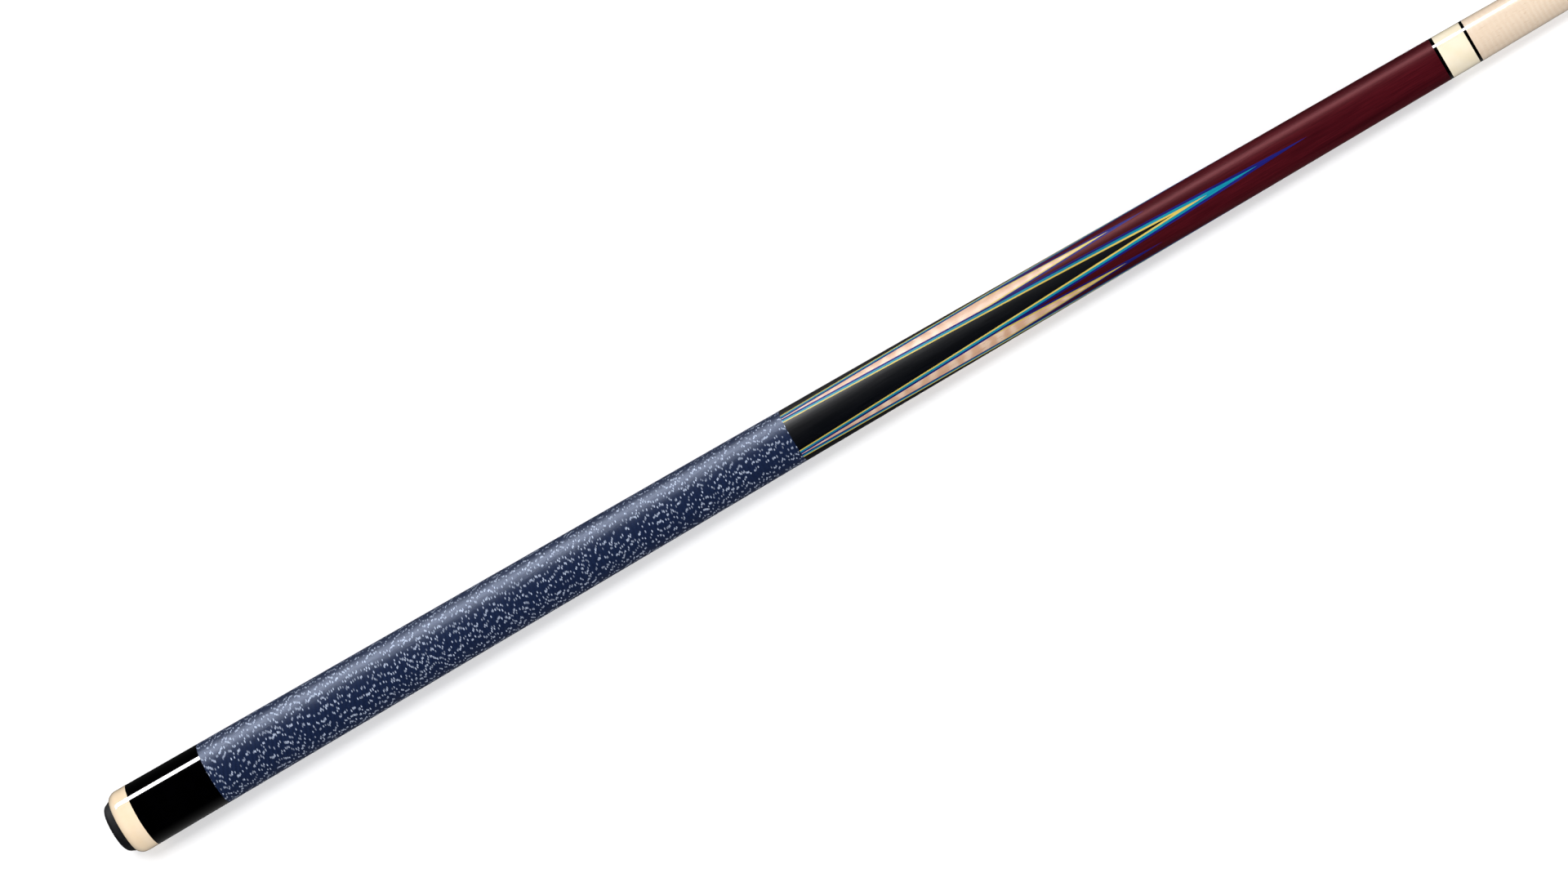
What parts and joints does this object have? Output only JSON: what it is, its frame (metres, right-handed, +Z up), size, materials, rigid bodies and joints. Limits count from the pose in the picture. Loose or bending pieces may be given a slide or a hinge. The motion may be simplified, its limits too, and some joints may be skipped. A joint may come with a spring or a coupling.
{
  "type": "pool cue",
  "caption": "Two-piece pool cue: inlaid forearm, linen-wrapped handle, screw joint, tapered shaft, leather tip, rubber bumper.",
  "frame": {"origin": "centre of the rubber bumper's flat end face, on the cue's axis", "axes": "+X along the cue from the bumper to the leather tip, +Z up, +Y to the left when looking from the bumper to the tip"},
  "size_m": [1.4732, 0.0322, 0.0322],
  "materials": {
    "bumper_rubber": "matte moulded rubber",
    "cap_ivory": "polished cream resin",
    "sleeve_black": "gloss black lacquer",
    "handle_maple": "plain turned maple",
    "wrap_linen": "pressed navy linen thread with white specks",
    "bolt_steel": "turned steel",
    "ring_rubber": "soft black rubber",
    "stud_steel": "turned steel",
    "veneer_navy": "dyed veneer, satin lacquer",
    "veneer_teal": "dyed veneer, satin lacquer",
    "veneer_yellow": "dyed veneer, satin lacquer",
    "point_black": "ebony-black wood, satin lacquer",
    "point_maple": "curly maple, satin lacquer",
    "forearm_burgundy": "burgundy stained maple, satin lacquer",
    "ring_black": "gloss black resin",
    "collar_ivory": "polished cream resin",
    "pin_steel": "ground stainless steel",
    "insert_brass": "turned brass",
    "shaft_maple": "fine-grained maple, clear gloss at the joint",
    "ferrule_white": "white resin",
    "pad_fibre": "black vulcanised fibre",
    "tip_leather": "pressed leather, burnished side"
  },
  "bodies": {
    "butt": {"butt_cap": "cap_ivory", "butt_sleeve": "sleeve_black", "handle_core": "handle_maple", "linen_wrap": "wrap_linen", "forearm_stud": "stud_steel", "long_veneer_navy_left": "veneer_navy", "long_veneer_teal_left": "veneer_teal", "long_veneer_yellow_left": "veneer_yellow", "long_point_left": "point_black", "long_veneer_navy_top": "veneer_navy", "long_veneer_teal_top": "veneer_teal", "long_veneer_yellow_top": "veneer_yellow", "long_point_top": "point_black", "long_veneer_navy_right": "veneer_navy", "long_veneer_teal_right": "veneer_teal", "long_veneer_yellow_right": "veneer_yellow", "long_point_right": "point_black", "long_veneer_navy_bottom": "veneer_navy", "long_veneer_teal_bottom": "veneer_teal", "long_veneer_yellow_bottom": "veneer_yellow", "long_point_bottom": "point_black", "short_veneer_navy_upper_left": "veneer_navy", "short_veneer_yellow_upper_left": "veneer_yellow", "short_point_upper_left": "point_maple", "short_veneer_navy_upper_right": "veneer_navy", "short_veneer_yellow_upper_right": "veneer_yellow", "short_point_upper_right": "point_maple", "short_veneer_navy_lower_right": "veneer_navy", "short_veneer_yellow_lower_right": "veneer_yellow", "short_point_lower_right": "point_maple", "short_veneer_navy_lower_left": "veneer_navy", "short_veneer_yellow_lower_left": "veneer_yellow", "short_point_lower_left": "point_maple", "forearm_blank": "forearm_burgundy", "joint_trim_ring": "ring_black", "joint_collar": "collar_ivory", "joint_pin": "pin_steel"},
    "bumper": {"bumper": "bumper_rubber"},
    "bolt_ring": {"bolt_oring": "ring_rubber"},
    "weight_bolt": {"weight_bolt": "bolt_steel"},
    "shaft_joint": {"shaft_ring": "ring_black"},
    "shaft": {"shaft_insert": "insert_brass", "shaft_wood": "shaft_maple", "ferrule": "ferrule_white", "tip_pad": "pad_fibre", "leather_tip": "tip_leather"}
  },
  "joints": [
    {"name": "bumper_pull", "type": "slide", "parent": "butt", "child": "bumper", "axis": [-1, 0, 0], "range_m": [0, 0.025]},
    {"name": "bolt_travel", "type": "slide", "parent": "butt", "child": "bolt_ring", "axis": [1, 0, 0], "range_m": [0, 0.0195]},
    {"name": "bolt_turn", "type": "hinge", "parent": "bolt_ring", "child": "weight_bolt", "pos_m": [0.032, 0, 0], "axis": [1, 0, 0], "range_deg": [0, 3600]},
    {"name": "joint_travel", "type": "slide", "parent": "butt", "child": "shaft_joint", "axis": [1, 0, 0], "range_m": [0, 0.03175]},
    {"name": "joint_turn", "type": "hinge", "parent": "shaft_joint", "child": "shaft", "pos_m": [0.7366, 0, 0], "axis": [1, 0, 0], "range_deg": [0, 4500]}
  ],
  "couplings": [
    {"joint": "bolt_turn", "follows": "bolt_travel", "rad_per_m": 3215.8},
    {"joint": "joint_turn", "follows": "joint_travel", "rad_per_m": 2473.7}
  ]
}
